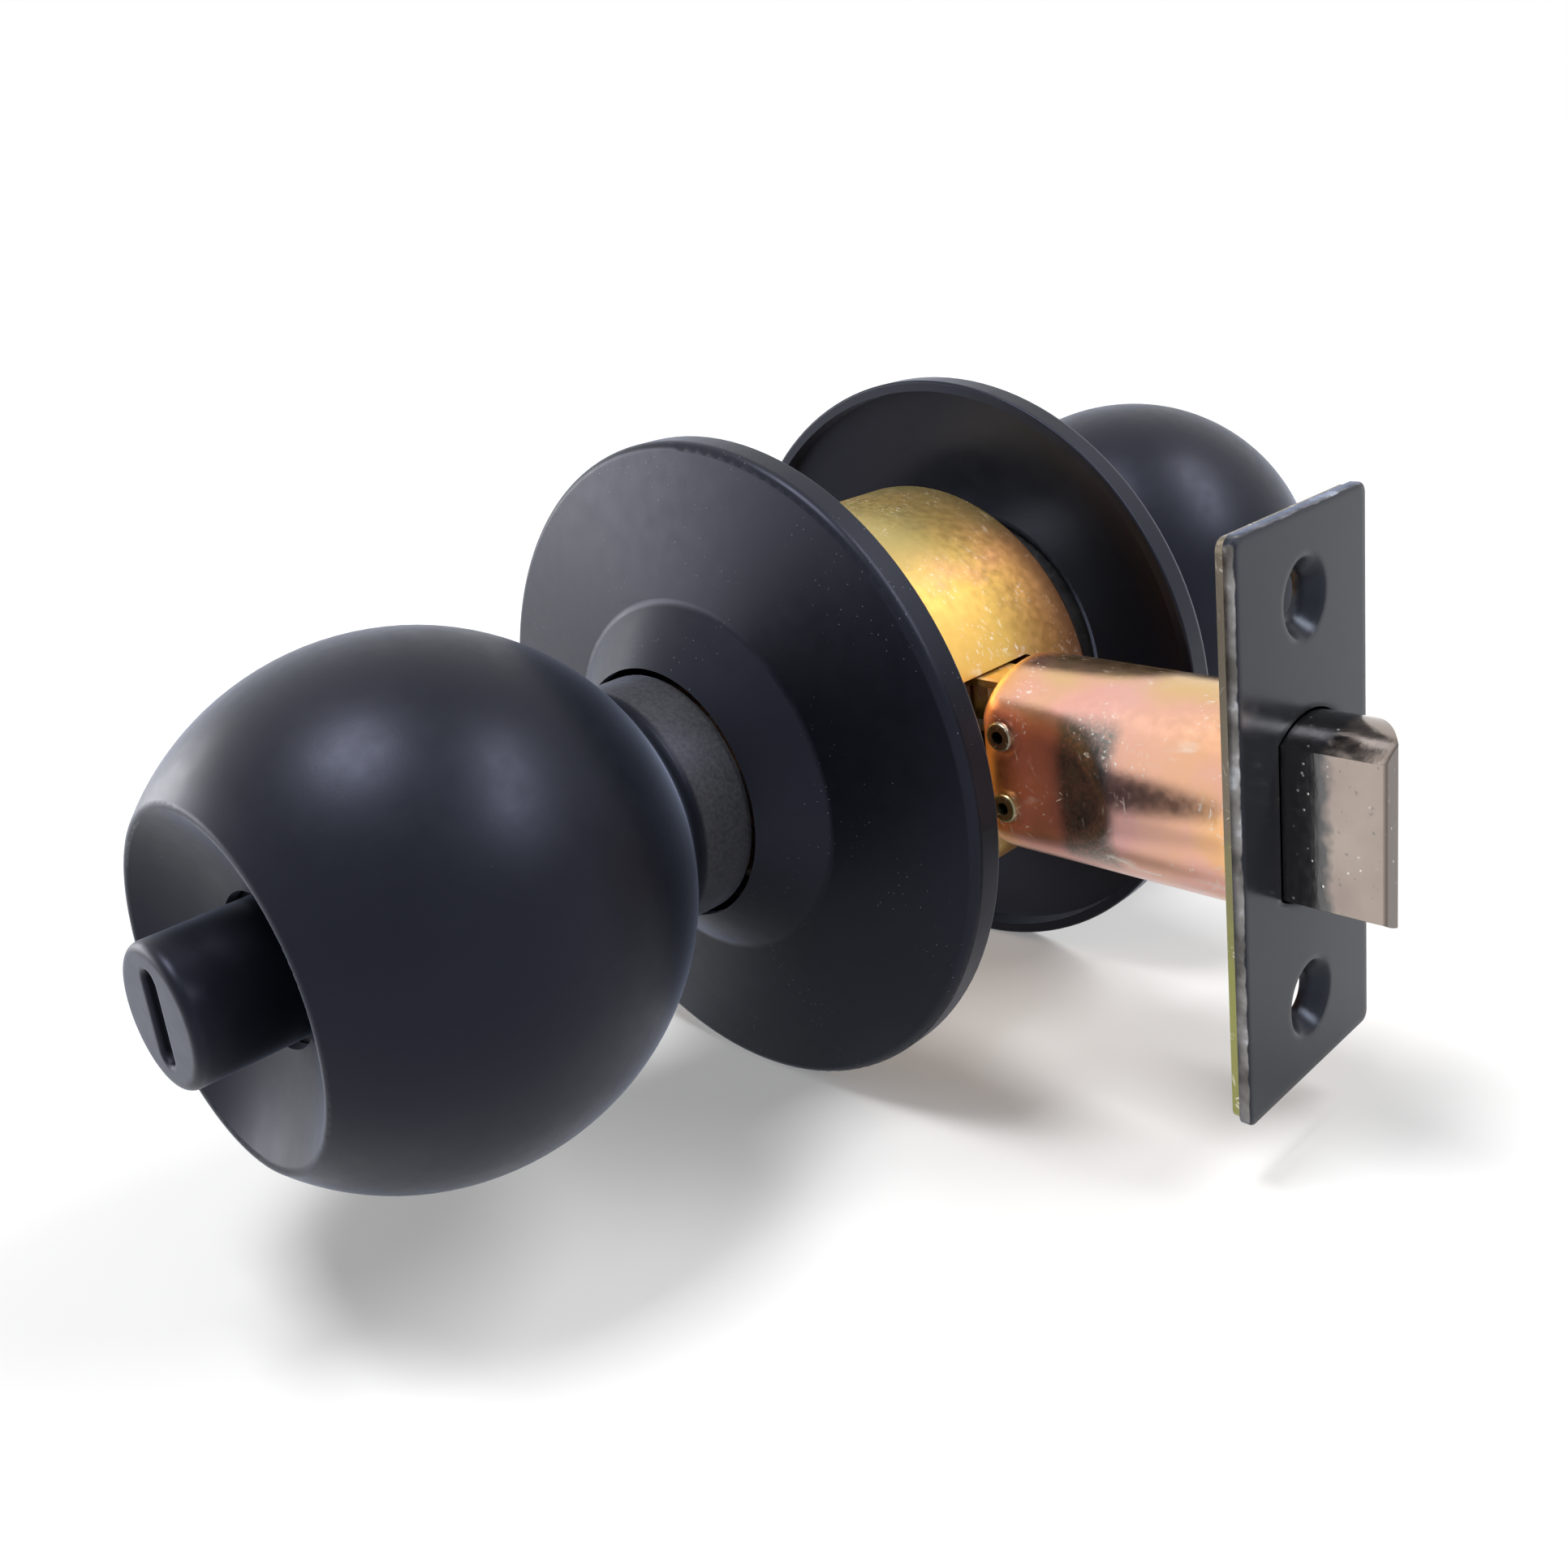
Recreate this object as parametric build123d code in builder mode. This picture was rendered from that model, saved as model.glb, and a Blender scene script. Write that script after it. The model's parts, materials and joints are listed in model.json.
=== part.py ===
from build123d import *
import os
from math import radians, sin, sqrt

# A cylindrical knob lock: two ball knobs and round roses on a drum chassis, with a spring latch
# at right angles to them. The origin is where the knob axis crosses the middle of the door.
# Y is the knob axis, with the inside knob and its lock button at -Y. The latch points along +X
# to the edge of the door, and Z is up. Lengths are in millimetres.

# Door, travel and fits
door_thickness = 36.5
backset = 60.0              # knob axis to the front of the faceplate
latch_throw = 10.2
knob_turn = 65.0            # degrees of turn that draw the latch right in
button_travel = 3.0
running_gap = 0.05          # turning and sliding fits, on the radius
slip_gap = 0.1              # pieces put together that stay still
moving_gap = 0.3            # pieces that pass each other

# Roses
rose_radius = 36.8
rose_wall = 1.0
rim_wall = 1.3              # the rim is folded over against the door
rim_depth = 3.6
rim_round = 1.1
rim_edge_round = 0.3        # at the door
face_rise = 2.8             # rim to the foot of the collar
collar_foot_radius = 20.0
collar_rise = 5.1
collar_round = 1.5
rose_hole_gap = 0.7         # around the neck of the knob

# Knobs
knob_reach = 42.2           # door face to the centre of the ball
ball_radius = 26.4
knob_wall = 1.1
neck_radius = 13.4
neck_entry = 0.6            # depth of the neck's end in the rose
neck_end_round = 0.9
neck_fillet = 2.4
dish_radius = 17.0
dish_depth = 5.75
dish_round = 0.8
release_hole_radius = 2.0   # for a pin, from outside

# Lock button and locking bar
button_radius = 6.8
button_gap = 0.75           # around the button, in the dish
button_proud = 5.2          # end of the button beyond the edge of the dish
button_round = 0.9
button_flange_width = 1.7
button_flange_thickness = 2.0
button_slot_length = 9.0
button_slot_width = 2.4
button_slot_depth = 1.0
button_slot_round = 0.4
button_spring_inset = 2.0   # inside the edge of the bar's collar
button_spring_wire = 0.7
button_spring_turns = 5
bar_head_radius = 4.15
bar_head_length = 5.6
bar_collar_radius = 8.0
bar_collar_thickness = 1.8
bar_width = 6.0
bar_thickness = 1.5
bar_hole_radius = 3.4
bar_clearance = 0.5         # from the pushed bar to the retractor

# Chassis
housing_radius = 24.3
housing_wall = 1.1
housing_setback = 2.5       # end of the housing behind the door face
housing_round = 0.5
end_plate_thickness = 1.5
hub_bore = 10.0
hub_wall = 1.5
hub_length = 11.0
hub_flange_radius = 15.0
hub_flange_thickness = 1.2
window_width = 14.0         # opening of the housing for the latch
window_corner = 1.5
rose_seat_radius = 18.6
rose_seat_top_radius = 16.0
mounting_plate_thickness = 1.4
screw_radius = 2.0
screw_head_radius = 3.6
screw_head_height = 1.9
screw_inset = 4.1           # from the bore of the housing
screw_length = 9.5

# Spindles, sleeves and catches
spindle_wall = 1.35
spindle_end = 57.0          # from the middle of the door
sleeve_end = 60.0
sleeve_web = 2.0
cam_clear = 5.4             # inner face of the cam, from the middle of the door
cam_thickness = 4.0
cam_half_width = 2.0
catch_place = 33.5
catch_radius = 1.6
catch_width = 5.0
catch_thickness = 0.6
catch_length = 12.0

# Retractor and its slide plate
slide_thickness = 5.0
slide_half_height = 6.0
wing_half_height = 13.0
wing_thickness = 3.0
lost_motion = 1.25          # turn of the cam before it meets the wings
wing_depth = 3.6            # overlap of the wings with the cam, along Y
jaw_thickness = 2.0
jaw_front = 17.0
guide_plate_thickness = 1.2
rib_thickness = 1.2
rib_length = 18.0
spring_lip_thickness = 1.0
spring_lip_height = 6.0
return_spring_height = 6.5  # from the latch axis
return_spring_radius = 2.1
return_spring_wire = 0.6
return_spring_turns = 5

# Latch
latch_gap = 2.3             # housing to the rear of the tube
tube_radius = 10.8
tube_wall = 1.0
tube_end_wall = 1.2
tube_end_round = 2.0
tube_flat_width = 16.8      # across the flattened sides at the rear
tube_flat_run_out = 7.5
tube_flat_bend = 18.0       # radius where the flats begin to run out
tube_flat_soften = 4.0      # radius of the edges around the flats
eyelet_radius = 1.6
eyelet_shank_radius = 1.2
eyelet_hole_radius = 0.7
eyelet_height = 0.6
eyelet_round = 0.4
eyelet_place = 3.2          # from the rear of the tube
eyelet_rows = (4.6, -3.4)   # heights on the tube
prong_height = 8.2          # from the latch axis to the outer faces of the prongs
prong_width = 6.0
prong_thickness = 0.8
prong_length = 7.0
yoke_thickness = 1.2
tail_thickness = 3.0
tail_head_height = 6.4
tail_head_thickness = 2.0
tail_depth = 6.0            # tail let into the bolt
tail_pin_radius = 0.8
tail_pin_inset = 3.0
bolt_radius = 9.4
bolt_near_flat = 5.25       # from the latch axis, towards the inside knob
bolt_far_flat = 6.6
bolt_reach = 10.3
bolt_gap = 0.2              # around the bolt in the faceplate
nose_width = 2.4
bevel_start = 0.9           # bevel begins this far out of the faceplate
bevel_bulge = 0.9
bolt_round = 0.35
collar_length = 3.1
shank_radius = 7.0
shank_length = 6.0
latch_spring_radius = 5.8
latch_spring_wire = 0.9
latch_spring_turns = 6

# Faceplate
plate_height = 58.2
plate_width = 24.8
plate_thickness = 1.1
plate_corner = 1.2
plate_edge_round = 0.3
backing_thickness = 0.9
backing_inset = 0.3
screw_spacing = 41.3
screw_hole_radius = 2.5
dimple_radius = 4.0
dimple_depth = 1.5
dimple_wall = 0.8
dimple_taper = 30.0         # degrees

# Places along the knob axis, from the middle of the door
door_face = door_thickness / 2
rim_top = door_face + rim_depth
collar_foot = rim_top + face_rise
collar_top = collar_foot + collar_rise
housing_end = door_face - housing_setback
hub_foot = housing_end - end_plate_thickness
hub_end = housing_end + hub_length
neck_end = collar_top - neck_entry
ball_centre = door_face + knob_reach
dish_edge = ball_centre + sqrt(ball_radius**2 - dish_radius**2)
dish_floor = dish_edge - dish_depth
dish_curve = (dish_radius**2 + dish_depth**2) / (2 * dish_depth)
cam_end = cam_clear + cam_thickness
slide_half = slide_thickness / 2
bar_end = slide_half + button_travel + bar_clearance

# Radii about the knob axis
spindle_radius = hub_bore - running_gap
spindle_bore = spindle_radius - spindle_wall
cam_boss_radius = bar_hole_radius + spindle_wall
hub_radius = hub_bore + hub_wall
sleeve_bore = spindle_radius + slip_gap
sleeve_radius = neck_radius - knob_wall - slip_gap
housing_bore = housing_radius - housing_wall
screw_circle = housing_bore - screw_inset
button_hole_radius = button_radius + button_gap
rose_hole_radius = neck_radius + rose_hole_gap
collar_slope = collar_rise / (collar_foot_radius - rose_hole_radius)

# Places along the latch
plate_back = backset - plate_thickness
backing_back = plate_back - backing_thickness
tube_rear = housing_radius + latch_gap
prong_back = tube_rear - prong_length
spring_seat = tube_rear + tube_end_wall
collar_front = backing_back - moving_gap
collar_back = collar_front - collar_length
shank_back = collar_back - shank_length
run_out_end = collar_back - latch_throw - moving_gap
flat_end = run_out_end - tube_flat_run_out
bolt_nose = backset + bolt_reach
tail_head_front = jaw_front - jaw_thickness - moving_gap
tail_head_back = tail_head_front - tail_head_thickness

# The end of the cam draws the retractor in by the whole throw at the end of the knob's turn
cam_arm = latch_throw / sin(radians(knob_turn))
wing_front = -(cam_half_width + lost_motion)
wing_back = wing_front - wing_thickness

# The return springs stand on lips that reach out to the bore of the housing
lip_corner = return_spring_height + spring_lip_height / 2
lip_reach = sqrt((housing_bore - moving_gap) ** 2 - lip_corner**2)
spring_lip_place = lip_reach - spring_lip_thickness

SIDES = (("inside", -1), ("outside", 1))
FROM_LEFT = (Align.MIN, Align.CENTER)
os.makedirs("parts", exist_ok=True)


def across(place):
    """Plane square to the knob axis, with its own x along X and its own y along Z."""
    return Plane.XZ.offset(-place)


def placed(side, *points):
    """Points (radius, distance from the middle of the door) on one side of the door."""
    return [(radius, side * distance) for radius, distance in points]


def corner(sketch, side, radius, distance):
    """The corner of a section that lies nearest to a place."""
    return sketch.vertices().sort_by_distance((radius, side * distance, 0))[0]


def ring(side, inner, outer, start, end):
    """Section of a plain ring about the knob axis."""
    with BuildSketch(Plane.XY) as section:
        with Locations(((inner + outer) / 2, side * (start + end) / 2)):
            Rectangle(outer - inner, end - start)
    return section.sketch


def save(piece, name):
    piece.part.label = name
    export_step(piece.part, f"parts/{name}.step")


def make_rose(name, side):
    with BuildPart() as rose:
        with BuildSketch(Plane.XY) as section:
            with BuildLine():
                Polyline(
                    *placed(
                        side,
                        (rose_radius, door_face),
                        (rose_radius, rim_top),
                        (collar_foot_radius, collar_foot),
                        (rose_hole_radius, collar_top),
                        (rose_hole_radius, collar_top - rose_wall),
                        (collar_foot_radius, collar_foot - rose_wall),
                        (rose_radius - rim_wall, rim_top - rose_wall),
                        (rose_radius - rim_wall, door_face),
                    ),
                    close=True,
                )
            make_face()
            fillet(corner(section, side, rose_radius, rim_top), rim_round)
            fillet(corner(section, side, collar_foot_radius, collar_foot), collar_round)
            fillet(corner(section, side, rose_radius, door_face), rim_edge_round)
        revolve(axis=Axis.Y)
    save(rose, f"{name}_rose")


def make_knob_shell(name, side, hole_radius):
    with BuildPart() as shell:
        for inset, mode in ((0, Mode.ADD), (knob_wall, Mode.SUBTRACT)):
            ball = ball_radius - inset
            neck = neck_radius - inset
            foot = neck_end - inset
            with BuildSketch(Plane.XY) as section:
                with Locations((0, side * ball_centre)):
                    Circle(ball)
                with Locations((0, side * (foot + ball_centre) / 2)):
                    Rectangle(2 * neck, ball_centre - foot)
                with Locations((0, side * (dish_floor + dish_curve))):
                    Circle(dish_curve + inset, mode=Mode.SUBTRACT)
                split(bisect_by=Plane.YZ)
                join = ball_centre - sqrt(ball**2 - neck**2)
                fillet(corner(section, side, neck, join), neck_fillet + inset)
                if mode == Mode.ADD:
                    fillet(corner(section, side, dish_radius, dish_edge), dish_round)
                    fillet(corner(section, side, neck, foot), neck_end_round)
            revolve(axis=Axis.Y, mode=mode)
        with BuildSketch(across(side * ball_centre)):
            Circle(hole_radius)
        extrude(amount=ball_radius, dir=(0, side, 0), mode=Mode.SUBTRACT)
        if name == "inside":
            with BuildSketch(Plane.YZ):
                with Locations((side * catch_place, 0)):
                    Circle(catch_radius)
            extrude(amount=-ball_radius, mode=Mode.SUBTRACT)
    save(shell, f"{name}_knob_shell")


def make_knob_sleeve(name, side):
    start = neck_end + neck_end_round
    with BuildPart() as sleeve:
        revolve(ring(side, sleeve_bore, sleeve_radius, start, sleeve_end), axis=Axis.Y)
        web = ring(side, bar_hole_radius, sleeve_bore, sleeve_end - sleeve_web, sleeve_end)
        revolve(web, axis=Axis.Y)
        with BuildSketch(Plane.YZ):
            with Locations((side * catch_place, 0)):
                Circle(catch_radius + slip_gap)
        extrude(amount=-ball_radius, mode=Mode.SUBTRACT)
    save(sleeve, f"{name}_knob_sleeve")


def make_spindle(name, side):
    with BuildPart() as spindle:
        revolve(ring(side, spindle_bore, spindle_radius, cam_end, spindle_end), axis=Axis.Y)
        web = ring(side, bar_hole_radius, spindle_bore, cam_end, cam_end + spindle_wall)
        revolve(web, axis=Axis.Y)
        with BuildSketch(across(side * cam_clear)):
            SlotCenterToCenter(2 * cam_arm, 2 * cam_half_width, rotation=90)
            Circle(cam_boss_radius)
            Circle(bar_hole_radius, mode=Mode.SUBTRACT)
        extrude(amount=cam_thickness, dir=(0, side, 0))
        with BuildSketch(Plane.YZ):
            with Locations((side * catch_place, 0)):
                Circle(catch_radius + slip_gap)
        extrude(amount=-ball_radius, mode=Mode.SUBTRACT)
    save(spindle, f"{name}_spindle")


def make_catch(name, side):
    leaf_place = -sqrt((spindle_bore - slip_gap) ** 2 - (catch_width / 2) ** 2)
    with BuildPart() as catch:
        with BuildSketch(Plane.YZ.offset(leaf_place)):
            with Locations((side * (catch_place - catch_width / 2 + catch_length / 2), 0)):
                Rectangle(catch_length, catch_width)
        extrude(amount=catch_thickness)
        with BuildSketch(Plane.YZ.offset(leaf_place)):
            with Locations((side * catch_place, 0)):
                Circle(catch_radius)
        extrude(amount=-(sleeve_radius + leaf_place))
    save(catch, f"{name}_catch")


def make_hub(name, side):
    with BuildPart() as hub:
        revolve(ring(side, hub_bore, hub_radius, hub_foot, hub_end), axis=Axis.Y)
        flange_end = housing_end + hub_flange_thickness
        revolve(ring(side, hub_bore, hub_flange_radius, housing_end, flange_end), axis=Axis.Y)
    save(hub, f"{name}_hub")


def make_end_plate(name, side):
    with BuildPart() as plate:
        hole = hub_radius + running_gap
        rim = housing_bore - running_gap
        revolve(ring(side, hole, rim, hub_foot, housing_end), axis=Axis.Y)
        if name == "inside":
            with BuildSketch(across(side * hub_foot)):
                with GridLocations(screw_circle, 2 * screw_circle, 1, 2):
                    Circle(screw_radius + running_gap)
            extrude(amount=end_plate_thickness, dir=(0, side, 0), mode=Mode.SUBTRACT)
    save(plate, f"{name}_end_plate")


for name, side in SIDES:
    make_rose(name, side)
    make_knob_sleeve(name, side)
    make_spindle(name, side)
    make_catch(name, side)
    make_hub(name, side)
    make_end_plate(name, side)
make_knob_shell("inside", -1, button_hole_radius)
make_knob_shell("outside", 1, release_hole_radius)

# Housing drum, open at the edge of the door where the latch comes in
with BuildPart() as housing:
    with BuildSketch(across(0)):
        Circle(housing_radius)
    extrude(amount=housing_end, both=True)
    fillet(housing.edges().filter_by(GeomType.CIRCLE), housing_round)
    with BuildSketch(across(0)):
        Circle(housing_bore)
    extrude(amount=housing_end, both=True, mode=Mode.SUBTRACT)
    with BuildSketch(Plane.YZ):
        RectangleRounded(window_width, 2 * (prong_height + moving_gap), window_corner)
    extrude(amount=housing_radius, mode=Mode.SUBTRACT)
save(housing, "housing")

# Plate that clamps the chassis to the door, under the inside rose
plate_foot = door_face + slip_gap
plate_top = plate_foot + mounting_plate_thickness
with BuildPart() as mounting_plate:
    rim = rose_radius - rim_wall - slip_gap
    revolve(ring(-1, hub_radius + slip_gap, rim, plate_foot, plate_top), axis=Axis.Y)
    with BuildSketch(across(-plate_foot)):
        with GridLocations(screw_circle, 2 * screw_circle, 1, 2):
            Circle(screw_radius + slip_gap)
    extrude(amount=mounting_plate_thickness, dir=(0, -1, 0), mode=Mode.SUBTRACT)
save(mounting_plate, "mounting_plate")

for name, height in (("upper", screw_circle), ("lower", -screw_circle)):
    with BuildPart() as mounting_screw:
        with BuildSketch(across(-plate_top)):
            with Locations((0, height)):
                Circle(screw_head_radius)
        extrude(amount=screw_head_height, dir=(0, -1, 0))
        with BuildSketch(across(-plate_top)):
            with Locations((0, height)):
                Circle(screw_radius)
        extrude(amount=screw_length, dir=(0, 1, 0))
    save(mounting_screw, f"{name}_mounting_screw")

# Ring on the outside hub, with a conical end that the collar of the outside rose sits on
with BuildPart() as rose_seat:
    seat_foot = housing_end + hub_flange_thickness
    cone_foot = collar_foot - rose_wall - slip_gap
    seat_edge = cone_foot + collar_slope * (collar_foot_radius - rose_seat_radius)
    seat_top = cone_foot + collar_slope * (collar_foot_radius - rose_seat_top_radius)
    with BuildSketch(Plane.XY):
        with BuildLine():
            Polyline(
                (hub_radius + slip_gap, seat_foot),
                (rose_seat_radius, seat_foot),
                (rose_seat_radius, seat_edge),
                (rose_seat_top_radius, seat_top),
                (hub_radius + slip_gap, seat_top),
                close=True,
            )
        make_face()
    revolve(axis=Axis.Y)
save(rose_seat, "outside_rose_seat")

# Plate across the housing that the retractor slides on, with its guide ribs and spring lip
guide_face = slide_half + moving_gap
rib_foot = slide_half_height + moving_gap
with BuildPart() as slide_plate:
    with BuildSketch(across(guide_face)):
        Circle(housing_bore - moving_gap)
        with Locations((prong_back - moving_gap, 0)):
            Rectangle(housing_radius, 2 * housing_radius, align=FROM_LEFT, mode=Mode.SUBTRACT)
        Circle(bar_hole_radius, mode=Mode.SUBTRACT)
    extrude(amount=guide_plate_thickness, dir=(0, 1, 0))
    with BuildSketch(across(guide_face)):
        for way in (1, -1):
            with Locations((rib_length / 2, way * (rib_foot + rib_thickness / 2))):
                Rectangle(rib_length, rib_thickness)
            with Locations((-spring_lip_place - spring_lip_thickness / 2, way * return_spring_height)):
                Rectangle(spring_lip_thickness, spring_lip_height)
    extrude(amount=guide_face + slide_half, dir=(0, -1, 0))
save(slide_plate, "slide_plate")

# Retractor: jaws that hold the latch tail, and wings that the inside cam pushes
slot_half_height = tail_head_height / 2 + moving_gap
mouth_half_height = tail_thickness / 2 + moving_gap
slot_back = tail_head_back - latch_throw - moving_gap
with BuildPart() as retractor:
    with BuildSketch(across(slide_half)):
        with Locations(((wing_back + jaw_front) / 2, 0)):
            Rectangle(jaw_front - wing_back, 2 * slide_half_height)
        with Locations((slot_back, 0)):
            slot_length = jaw_front - jaw_thickness - slot_back
            Rectangle(slot_length, 2 * slot_half_height, align=FROM_LEFT, mode=Mode.SUBTRACT)
            Rectangle(2 * jaw_front, 2 * mouth_half_height, align=FROM_LEFT, mode=Mode.SUBTRACT)
        Circle(release_hole_radius, mode=Mode.SUBTRACT)
    extrude(amount=slide_thickness, dir=(0, -1, 0))
    with BuildSketch(across(slide_half)):
        with Locations(((wing_back + wing_front) / 2, 0)):
            Rectangle(wing_thickness, 2 * wing_half_height)
    extrude(amount=slide_thickness, dir=(0, -1, 0))
    with BuildSketch(across(-slide_half)):
        with Locations(((wing_back + wing_front) / 2, 0)):
            Rectangle(wing_thickness, 2 * wing_half_height)
            Rectangle(wing_thickness, 2 * (cam_boss_radius + moving_gap), mode=Mode.SUBTRACT)
    extrude(amount=cam_clear + wing_depth - slide_half, dir=(0, -1, 0))
save(retractor, "retractor")


def make_spring(name, start, end, radius, wire, turns, direction):
    """Coil from one seat to another, with the wire inside the two ends."""
    axis = Vector(*direction)
    length = (Vector(*end) - Vector(*start)).length - wire - slip_gap
    first = Vector(*start) + axis * ((wire + slip_gap) / 2)
    with BuildPart() as spring:
        with BuildLine() as path:
            Helix(pitch=length / turns, height=length, radius=radius, center=first, direction=direction)
        with BuildSketch(Plane(origin=path.line @ 0, z_dir=path.line % 0)):
            Circle(wire / 2)
        sweep(is_frenet=True)
    save(spring, name)


for name, height in (("upper", return_spring_height), ("lower", -return_spring_height)):
    make_spring(
        f"{name}_return_spring",
        (-spring_lip_place, 0, height),
        (wing_back, 0, height),
        return_spring_radius,
        return_spring_wire,
        return_spring_turns,
        (1, 0, 0),
    )

# Lock button in the inside knob, with the locking bar that it turns on and pushes
flange_top = dish_floor - knob_wall + button_hole_radius**2 / (2 * dish_curve) - moving_gap
flange_foot = flange_top - button_flange_thickness
button_end = dish_edge + button_proud
bar_collar_top = flange_foot - moving_gap
bar_collar_foot = bar_collar_top - bar_collar_thickness
bar_head_top = bar_collar_top + bar_head_length
with BuildPart() as button:
    with BuildSketch(across(-flange_foot)):
        Circle(button_hole_radius + button_flange_width - button_gap)
    extrude(amount=button_flange_thickness, dir=(0, -1, 0))
    with BuildSketch(across(-flange_foot)):
        Circle(button_radius)
    extrude(amount=button_end - flange_foot, dir=(0, -1, 0))
    fillet(button.edges().sort_by(Axis.Y)[0], button_round)
    with BuildSketch(across(-button_end)):
        SlotOverall(button_slot_length, button_slot_width, rotation=90)
    extrude(amount=button_slot_depth, dir=(0, 1, 0), mode=Mode.SUBTRACT)
    fillet(button.faces().sort_by(Axis.Y)[0].inner_wires()[0].edges(), button_slot_round)
    with BuildSketch(across(-flange_foot)):
        Circle(bar_head_radius + running_gap)
    socket_depth = bar_head_top + moving_gap - flange_foot
    extrude(amount=socket_depth, dir=(0, -1, 0), mode=Mode.SUBTRACT)
save(button, "lock_button")

with BuildPart() as locking_bar:
    with BuildSketch(across(-bar_end)):
        Rectangle(bar_thickness, bar_width)
    extrude(amount=bar_collar_top - bar_end, dir=(0, -1, 0))
    with BuildSketch(across(-bar_collar_foot)):
        Circle(bar_collar_radius)
    extrude(amount=bar_collar_thickness, dir=(0, -1, 0))
    with BuildSketch(across(-bar_collar_top)):
        Circle(bar_head_radius)
    extrude(amount=bar_head_length, dir=(0, -1, 0))
save(locking_bar, "locking_bar")

make_spring(
    "button_spring",
    (0, -sleeve_end, 0),
    (0, -bar_collar_foot, 0),
    bar_collar_radius - button_spring_inset,
    button_spring_wire,
    button_spring_turns,
    (0, -1, 0),
)


def tube_form(inset, rear):
    """Outside of the latch tube, or its bore: a round rod with two flats that run out forwards."""
    radius = tube_radius - inset
    half_width = flat_half - inset
    wide = half_width + (radius - half_width) * (backing_back - flat_end) / tube_flat_run_out
    with BuildPart() as form:
        with BuildSketch(Plane.YZ.offset(rear)):
            Circle(radius)
        extrude(amount=backing_back - rear)
        with BuildSketch(Plane.XY) as outline:
            with BuildLine():
                Polyline(
                    (rear, 0),
                    (rear, half_width),
                    (flat_end, half_width),
                    (backing_back, wide),
                    (backing_back, 0),
                )
                mirror(about=Plane.XZ)
            make_face()
            fillet(outline.vertices().filter_by_position(Axis.X, flat_end, flat_end), tube_flat_bend)
        extrude(amount=radius, both=True, mode=Mode.INTERSECT)
        sides = form.edges().filter_by_position(Axis.X, rear, backing_back, inclusive=(False, False))
        fillet(sides.filter_by(Axis.Z, reverse=True), tube_flat_soften - inset)
        fillet(form.edges().group_by(Axis.X)[0], tube_end_round - inset)
    return form.part


# Latch tube: a drawn cup, flattened at the rear
flat_half = tube_flat_width / 2
with BuildPart() as latch_tube:
    add(tube_form(0, tube_rear))
    add(tube_form(tube_wall, spring_seat), mode=Mode.SUBTRACT)
    with BuildSketch(Plane.YZ.offset(tube_rear)):
        Rectangle(tail_thickness + 2 * moving_gap, tail_head_height + 2 * moving_gap)
    extrude(amount=tube_end_wall, mode=Mode.SUBTRACT)
    with BuildSketch(Plane.XZ):
        for row in eyelet_rows:
            with Locations((tube_rear + eyelet_place, row)):
                Circle(eyelet_shank_radius + slip_gap)
    extrude(amount=tube_radius, both=True, mode=Mode.SUBTRACT)
save(latch_tube, "latch_tube")

for name, side in (("near", -1), ("far", 1)):
    for place, row in zip(("upper", "lower"), eyelet_rows):
        with BuildPart() as eyelet:
            with BuildSketch(across(side * flat_half)):
                with Locations((tube_rear + eyelet_place, row)):
                    Circle(eyelet_radius)
            extrude(amount=eyelet_height, dir=(0, side, 0))
            fillet(eyelet.edges().sort_by(Axis((0, 0, 0), (0, side, 0)))[-1], eyelet_round)
            with BuildSketch(across(side * flat_half)):
                with Locations((tube_rear + eyelet_place, row)):
                    Circle(eyelet_shank_radius)
            extrude(amount=tube_wall, dir=(0, -side, 0))
            with BuildSketch(across(side * (flat_half + eyelet_height))):
                with Locations((tube_rear + eyelet_place, row)):
                    Circle(eyelet_hole_radius)
            extrude(amount=eyelet_height + tube_wall, dir=(0, -side, 0), mode=Mode.SUBTRACT)
        save(eyelet, f"{name}_{place}_eyelet")

# Yoke on the rear of the tube, with two prongs that seat in the window of the housing
with BuildPart() as latch_yoke:
    with BuildSketch(Plane.YZ.offset(prong_back)):
        Rectangle(prong_width, 2 * prong_height)
    extrude(amount=prong_length)
    with BuildSketch(Plane.YZ.offset(prong_back)):
        Rectangle(prong_width, 2 * (prong_height - prong_thickness))
    extrude(amount=prong_length - yoke_thickness, mode=Mode.SUBTRACT)
    with BuildSketch(Plane.YZ.offset(tube_rear)):
        Rectangle(tail_thickness + 2 * moving_gap, tail_head_height + 2 * moving_gap)
    extrude(amount=-prong_length, mode=Mode.SUBTRACT)
save(latch_yoke, "latch_yoke")


def bolt_section(place, grow):
    """Section of the bolt, a round rod with two unequal flats."""
    with BuildSketch(Plane.YZ.offset(place)) as section:
        Circle(bolt_radius + grow)
        with Locations(((bolt_far_flat - bolt_near_flat) / 2, 0)):
            width = bolt_near_flat + bolt_far_flat + 2 * grow
            Rectangle(width, 4 * bolt_radius, mode=Mode.INTERSECT)
    return section.sketch


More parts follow.
